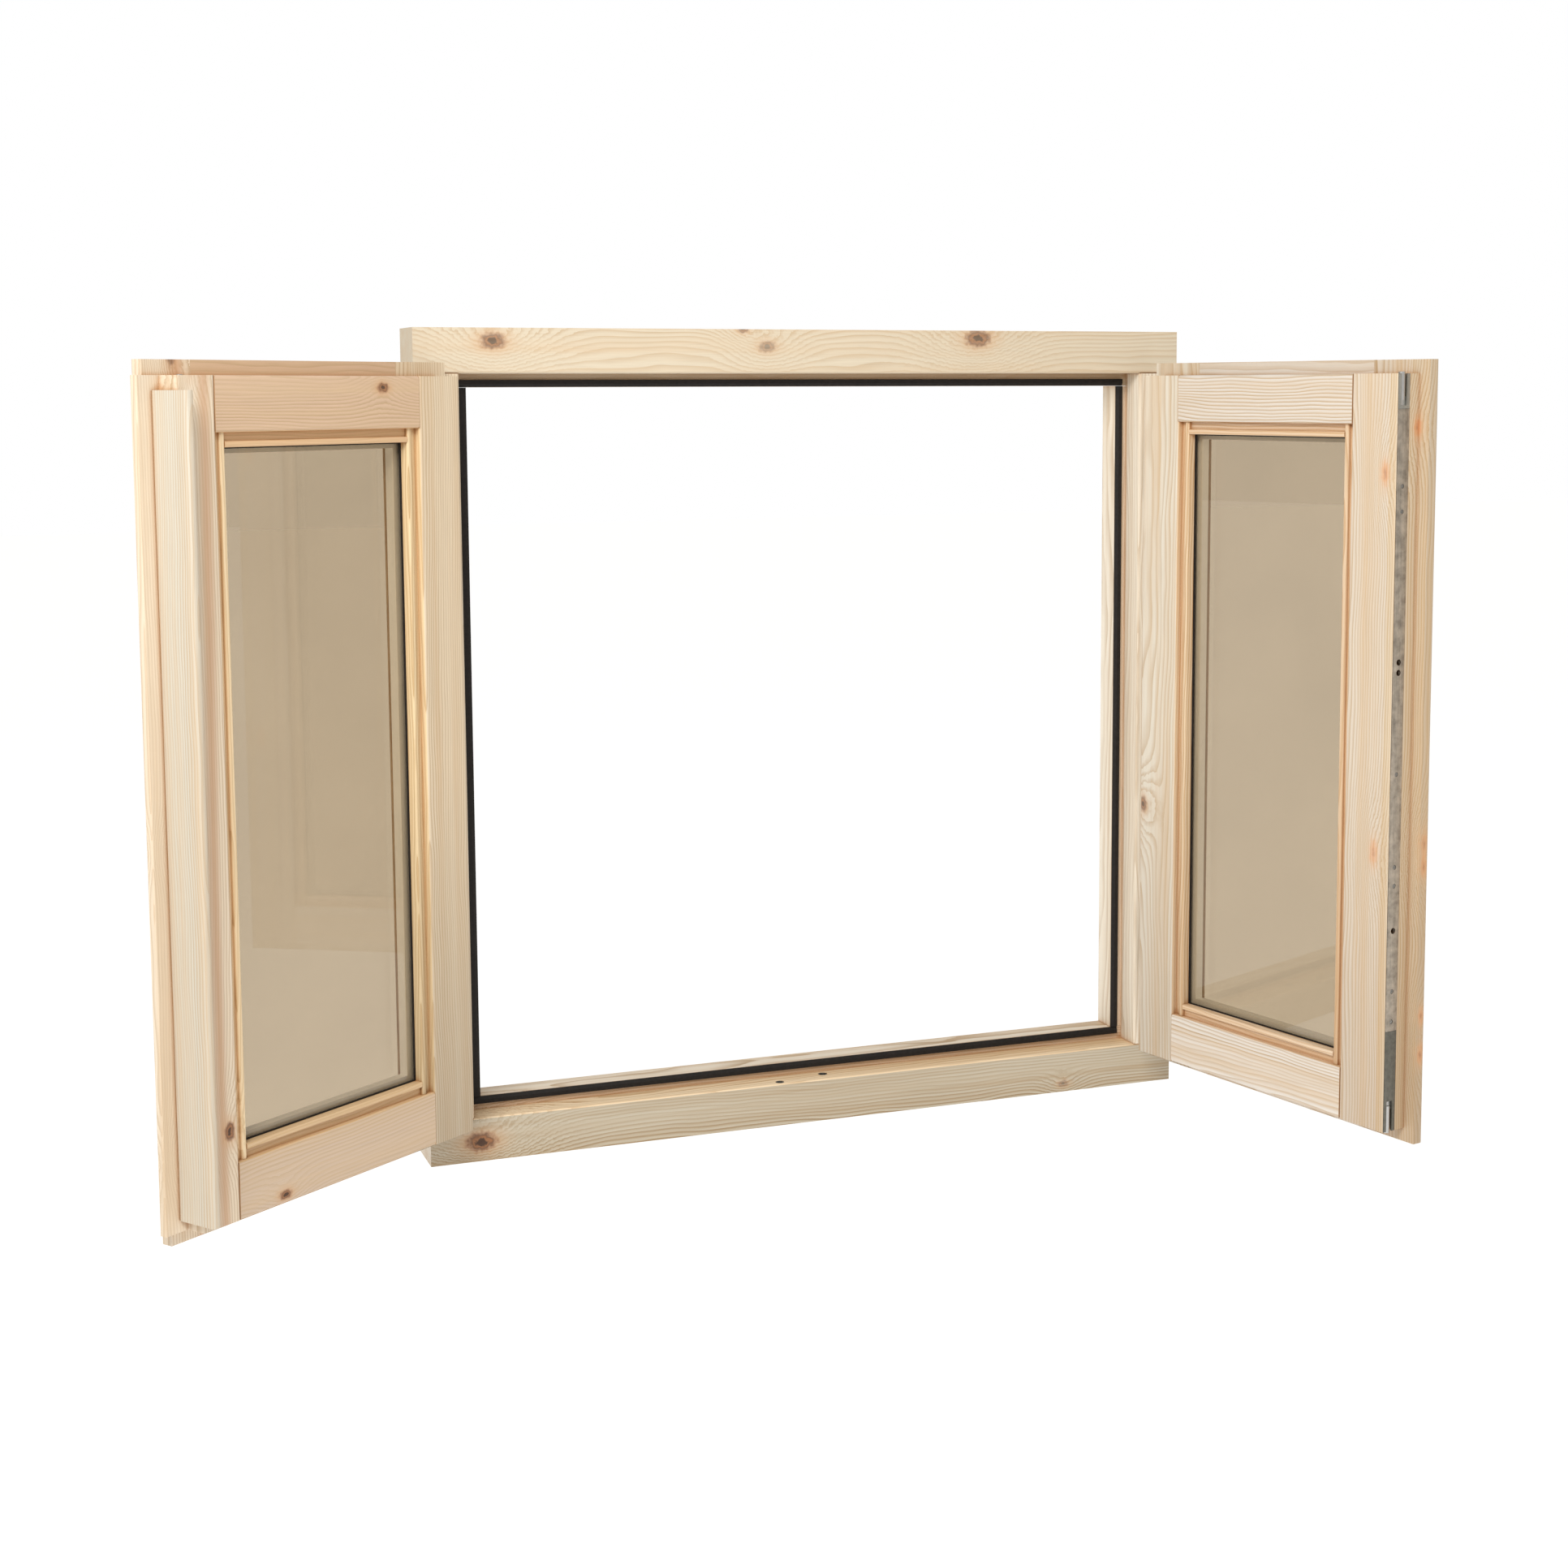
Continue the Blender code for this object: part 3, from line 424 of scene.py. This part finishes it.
def look_of(name):
    if name in PINE_LOOKS:
        side = name.split("_")[0]
        look = dict(PINE_LOOKS[name])
        if side in SIDE:
            # adds the painted warm bounce light on the pane reveals
            reveal_glow = (closed(side, *REVEAL_LOW), closed(side, *REVEAL_HIGH), REVEAL_GLOW[side])
            look["shade_and_glow_patches"] = (*look.get("shade_and_glow_patches", ()), reveal_glow)
        return pine(f"pine_{name}", side if side in SIDE else None, **look)
    if "_bead_" in name:
        side = name.split("_")[0]
        seed = 40.0 + sum(ord(c) for c in name) % 23
        grain = "X" if name.endswith(("top", "bottom")) else "Z"
        return pine(f"pine_{name}", side, grain, seed, pith=(0.05, 0.06), tone=(0.700, 0.569, 0.391))
    if "pane" in name:
        return GLASS
    if "glazing_seal" in name or "frame_seal" in name:
        return RUBBER
    if "spacer" in name:
        return ALUMINIUM
    if name == "lock_faceplate":
        return PLATE
    if name == "lock_end_lower":
        return DARK_STEEL
    if name.startswith("lock_rod") or "slide_bolt" in name:
        return PLATED
    return STEEL


def soften(piece, width, segments=2):
    step = piece.modifiers.new("soft edges", "BEVEL")
    step.width = width
    step.segments = segments
    step.limit_method = "ANGLE"
    step.angle_limit = math.radians(40)
    step.harden_normals = False


for name, piece in NODES.items():
    piece.data.materials.clear()
    piece.data.materials.append(look_of(name))
    if name in PINE_LOOKS or "_bead_" in name:
        soften(piece, 0.0004)
    elif name == "lock_faceplate" or name.startswith("lock_end"):
        soften(piece, 0.0003, 1)
    elif "hinge" in name:
        soften(piece, 0.0006)


# ------------------------------------------------------------------ glue lines and screws
def slab(name, lows, highs, look):
    """A thin block between two corners."""
    size = [high - low for low, high in zip(lows, highs)]
    middle = [(high + low) / 2 for low, high in zip(lows, highs)]
    bpy.ops.mesh.primitive_cube_add(size=1.0)
    made = bpy.context.object
    made.name = name
    made.data.name = name
    made.data.transform(Matrix.Translation(middle) @ Matrix.Diagonal((*size, 1.0)))
    made.data.materials.append(look)
    return made


GLUE_GAP = 0.0003
FRAME_FACE = 0.0535
SASH_D = 0.0505
CORE_Z = (0.0595, 0.943)
LIP = 0.016
CORE_D = 0.035
HINGE_STILE = 0.0655
GLASS_W = 0.30075
RAIL = {"top": 0.058, "bottom": 0.062}
ACTIVE_STILE = 0.071
SCREW_RADIUS = 0.0024
SCREW_Z = (0.815, 0.786, 0.483, 0.374, 0.352, 0.227, 0.191)
GLUE = pine("glue_line", None, "Z", 51.0, tone=(0.56, 0.44, 0.31))


def glue_lines():
    """The closed joints between stiles and rails and at the frame's corners."""
    sunk = 0.00012
    for side in SIDE:
        for end, u in (("hinge", HINGE_STILE), ("free", HINGE_STILE + GLASS_W - GLUE_GAP)):
            for rail, core in RAIL.items():
                for layer, v0, v1, out in (("core", sunk, CORE_D, 0.0), ("lip", CORE_D, SASH_D - sunk, LIP)):
                    if rail == "top":
                        z0, z1 = CORE_Z[1] - core + sunk, CORE_Z[1] + out - sunk
                    else:
                        z0, z1 = CORE_Z[0] - out + sunk, CORE_Z[0] + core - sunk
                    a = closed(side, u, v0, z0)
                    b = closed(side, u + GLUE_GAP, v1, z1)
                    low = [min(p, q) for p, q in zip(a, b)]
                    high = [max(p, q) for p, q in zip(a, b)]
                    name = f"{side}_glue_{rail}_{end}_{layer}"
                    line = slab(name, low, high, GLUE)
                    line.data.transform(swung(side))
                    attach(line, f"{side}_sash")
    for x, side in ((-0.5, "left"), (0.5 - FRAME_FACE, "right")):
        for z, end in ((FRAME_FACE, "sill"), (1.0 - FRAME_FACE - GLUE_GAP, "head")):
            low = (x + sunk, ROOM_Y + sunk, z)
            high = (x + FRAME_FACE - sunk, -ROOM_Y - sunk, z + GLUE_GAP)
            line = slab(f"frame_glue_{end}_{side}", low, high, GLUE)
            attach(line, "frame")


def screw_heads():
    """Countersunk cross-head screws in the lock's faceplate."""
    u = HINGE_STILE + GLASS_W + ACTIVE_STILE
    for index, z in enumerate(SCREW_Z):
        bpy.ops.mesh.primitive_cylinder_add(vertices=24, radius=SCREW_RADIUS, depth=0.0011)
        head = bpy.context.object
        head.name = f"faceplate_screw_{index + 1}"
        notch = []
        for width, length in ((0.0006, 0.0030), (0.0030, 0.0006)):
            bpy.ops.mesh.primitive_cube_add(size=1.0, location=(0.0, 0.0, 0.0005))
            bar = bpy.context.object
            bar.scale = (width, length, 0.0009)
            notch.append(bar)
        for bar in notch:
            step = head.modifiers.new("cross", "BOOLEAN")
            step.operation = "DIFFERENCE"
            step.object = bar
        bpy.context.view_layer.update()
        evaluated = head.evaluated_get(bpy.context.evaluated_depsgraph_get())
        mesh = bpy.data.meshes.new_from_object(evaluated)
        head.modifiers.clear()
        head.data = mesh
        mesh.name = head.name
        for bar in notch:
            bpy.data.objects.remove(bar, do_unlink=True)
        tilt = Matrix.Rotation(math.radians(90), 4, "Y") @ Matrix.Rotation(0.7 * index, 4, "Z")
        spot = closed("right", u - 0.0009, 0.0105, z)
        mesh.transform(swung("right") @ Matrix.Translation(spot) @ Matrix.Rotation(math.pi, 4, "Z") @ tilt)
        head.data.materials.clear()
        head.data.materials.append(SCREW_STEEL)
        soften(head, 0.0002)
        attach(head, "right_sash")


SCREW_STEEL = metal("screw_steel", (0.30, 0.29, 0.27), 0.35, 0.05)
glue_lines()
screw_heads()

# ------------------------------------------------------------------ camera, light, floor
FLOOR_Z = -0.9


def add_camera():
    data = bpy.data.cameras.new("camera")
    data.lens = 55.44
    data.sensor_width = 36.0
    data.shift_x = -0.04944
    data.shift_y = -0.08312
    data.clip_end = 60.0
    camera = bpy.data.objects.new("camera", data)
    bpy.context.scene.collection.objects.link(camera)
    yaw, pitch, roll = (math.radians(a) for a in (21.342, -6.234, -0.177))
    forward = Vector((math.sin(yaw) * math.cos(pitch), math.cos(yaw) * math.cos(pitch), math.sin(pitch)))
    right = Vector((math.cos(yaw), -math.sin(yaw), 0.0))
    up = right.cross(forward)
    level = right * math.cos(roll) + up * math.sin(roll)
    upright = -right * math.sin(roll) + up * math.cos(roll)
    turned = Matrix((level, upright, -forward)).transposed().to_4x4()
    camera.matrix_world = Matrix.Translation((-1.04169, -2.84884, 0.92611)) @ turned
    bpy.context.scene.camera = camera


def add_light(name, place, target, size, power, colour):
    data = bpy.data.lights.new(name, "AREA")
    data.shape = "RECTANGLE"
    data.size, data.size_y = size
    data.energy = power
    data.color = colour
    lamp = bpy.data.objects.new(name, data)
    bpy.context.scene.collection.objects.link(lamp)
    aim = (Vector(target) - Vector(place)).to_track_quat("-Z", "Y")
    lamp.matrix_world = Matrix.Translation(place) @ aim.to_matrix().to_4x4()
    return lamp


def add_floor():
    bpy.ops.mesh.primitive_plane_add(size=60.0, location=(0.0, 0.0, FLOOR_Z))
    floor = bpy.context.object
    floor.name = "floor"
    look = plain("pale_floor", (0.93, 0.93, 0.93), 0.9)
    shader = look.node_tree.nodes["Principled BSDF"]
    shader.inputs["Emission Color"].default_value = (1.0, 1.0, 1.0, 1.0)
    shader.inputs["Emission Strength"].default_value = 0.50
    floor.data.materials.append(look)


def add_world(strength):
    """Soft white surroundings, shown white to the camera and a little dimmer as a light."""
    world = bpy.data.worlds.new("studio")
    bpy.context.scene.world = world
    world.use_nodes = True
    nodes, links = world.node_tree.nodes, world.node_tree.links
    fill = nodes["Background"]
    fill.inputs["Color"].default_value = (1.0, 0.985, 0.96, 1.0)
    fill.inputs["Strength"].default_value = strength
    seen = nodes.new("ShaderNodeBackground")
    seen.inputs["Color"].default_value = (1.0, 1.0, 1.0, 1.0)
    seen.inputs["Strength"].default_value = 1.0
    both = nodes.new("ShaderNodeMixShader")
    path = nodes.new("ShaderNodeLightPath")
    links.new(path.outputs["Is Camera Ray"], both.inputs[0])
    links.new(fill.outputs[0], both.inputs[1])
    links.new(seen.outputs[0], both.inputs[2])
    links.new(both.outputs[0], nodes["World Output"].inputs["Surface"])


add_camera()
add_floor()
add_world(0.55)
add_light("key", (-1.5, -2.2, 2.4), (0.0, -0.1, 0.6), (1.3, 1.3), 74.0, (1.0, 0.985, 0.955))
bpy.context.scene.view_settings.view_transform = "Standard"
